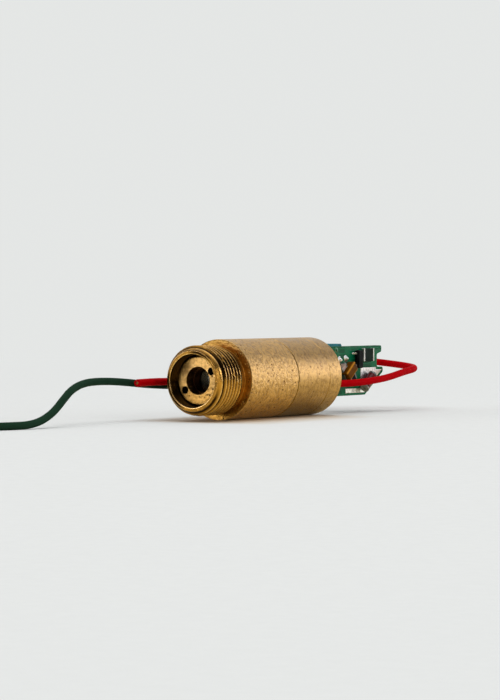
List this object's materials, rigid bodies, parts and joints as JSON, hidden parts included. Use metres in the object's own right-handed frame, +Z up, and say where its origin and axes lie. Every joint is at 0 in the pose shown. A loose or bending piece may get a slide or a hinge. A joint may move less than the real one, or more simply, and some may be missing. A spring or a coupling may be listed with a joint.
{
  "type": "laser diode module",
  "caption": "Cylindrical brass laser diode module with a threaded nose, a spanner-hole lens ring, a driver board behind and two loose supply leads.",
  "frame": {"origin": "on the optical axis, in the plane of the shoulder behind the nose thread", "axes": "the nose and the beam point along -Y, the board and the leads' solder joints lie towards +Y, +Z is up from the table the module lies on, and +X is the side the picture was taken from"},
  "size_m": [0.0218, 0.1099, 0.012],
  "materials": {
    "brass": "bead-blasted and turned",
    "optical_glass": "polished",
    "filter_glass": "polished",
    "crystal": "polished",
    "plated_steel": "gold plated",
    "tinned_copper": "tinned",
    "solder": "solder",
    "board": "solder mask",
    "trimmer_blue": "moulded",
    "trimmer_white": "moulded",
    "tantalum": "moulded",
    "capacitor": "fired",
    "black_epoxy": "moulded",
    "red_glass": "glass",
    "red_insulation": "extruded",
    "black_insulation": "extruded",
    "semiconductor": "polished"
  },
  "bodies": {
    "module": {"front_barrel": "brass", "middle_barrel": "brass", "rear_collar": "brass", "lens_ring": "brass", "lens_cell": "brass", "output_lens": "optical_glass", "lens_retainer": "brass", "expander_cell": "brass", "expander_lens": "optical_glass", "ir_filter": "filter_glass", "crystal_block": "brass", "doubling_crystal": "crystal", "pump_crystal": "crystal", "diode_header": "plated_steel", "diode_cap": "plated_steel", "diode_window": "optical_glass", "diode_submount": "tinned_copper", "diode_chip": "semiconductor", "diode_pins": "plated_steel", "driver_board": "board", "tinned_pad": "solder", "trimmer_body": "trimmer_blue", "trimmer_legs": "tinned_copper", "tantalum_capacitor": "tantalum", "chip_capacitor": "capacitor", "small_diode": "black_epoxy", "protection_diode": "red_glass", "chip_resistor": "black_epoxy", "chip_terminals": "tinned_copper", "transistor": "black_epoxy", "transistor_legs": "tinned_copper", "driver_chip": "black_epoxy", "driver_chip_legs": "tinned_copper", "solder_joints": "solder", "red_lead": "red_insulation", "red_lead_core": "tinned_copper", "black_lead": "black_insulation", "black_lead_core": "tinned_copper"},
    "trimmer_rotor": {"trimmer_rotor": "trimmer_white"}
  },
  "joints": [
    {"name": "trimmer_turn", "type": "hinge", "parent": "module", "child": "trimmer_rotor", "pos_m": [-0.0027, 0.0342, 0.00285], "axis": [-1, 0, 0], "range_deg": [-130, 130]}
  ]
}
